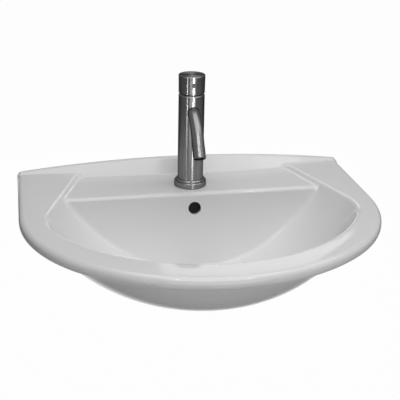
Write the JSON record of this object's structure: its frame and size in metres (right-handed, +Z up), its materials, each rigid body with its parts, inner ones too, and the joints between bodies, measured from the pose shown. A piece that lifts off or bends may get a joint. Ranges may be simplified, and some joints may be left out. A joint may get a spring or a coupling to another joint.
{
  "type": "wall hung basin",
  "caption": "Wall hung ceramic basin with rounded front, raised back lip, tap deck, overflow, pillar mixer tap with bent spout and turning knob, and push plug waste.",
  "frame": {"origin": "midway between the centres of the two wall fixing holes, on the plane of the wall", "axes": "+X along the wall, +Y into the wall (the basin's front faces -Y), +Z up"},
  "size_m": [0.6, 0.4619, 0.377],
  "materials": {
    "white_glaze": "gloss white glaze",
    "chrome_plate": "polished plating",
    "black_rubber": "matt",
    "dark_plastic": "satin moulded",
    "white_plastic": "moulded",
    "index_plastic": "gloss",
    "plain_brass": "machined",
    "zinc_steel": "zinc plated"
  },
  "bodies": {
    "basin_body": {"basin": "white_glaze", "base_gasket": "black_rubber", "base_ring": "chrome_plate", "tap_body": "chrome_plate", "spout": "chrome_plate", "aerator_housing": "chrome_plate", "aerator_insert": "dark_plastic", "cartridge": "white_plastic", "cartridge_nut": "plain_brass", "fixing_stud": "zinc_steel", "clamp_washer": "black_rubber", "clamp_plate": "zinc_steel", "fixing_nut": "plain_brass", "waste_upper_seal": "black_rubber", "waste_body": "chrome_plate", "waste_lower_seal": "black_rubber", "waste_nut": "chrome_plate", "plug_clicker": "plain_brass"},
    "knob_body": {"knob": "chrome_plate", "knob_screw": "zinc_steel", "index_plug": "index_plastic", "cartridge_spindle": "plain_brass"},
    "plug_body": {"waste_plug": "chrome_plate", "plug_seal": "black_rubber", "plug_stem": "plain_brass"}
  },
  "joints": [
    {"name": "knob_turn", "type": "hinge", "parent": "basin_body", "child": "knob_body", "pos_m": [0, -0.085, 0.265], "axis": [0, 0, 1], "range_deg": [0, 100]},
    {"name": "plug_lift", "type": "slide", "parent": "basin_body", "child": "plug_body", "axis": [0, 0, 1], "range_m": [0, 0.009]}
  ]
}
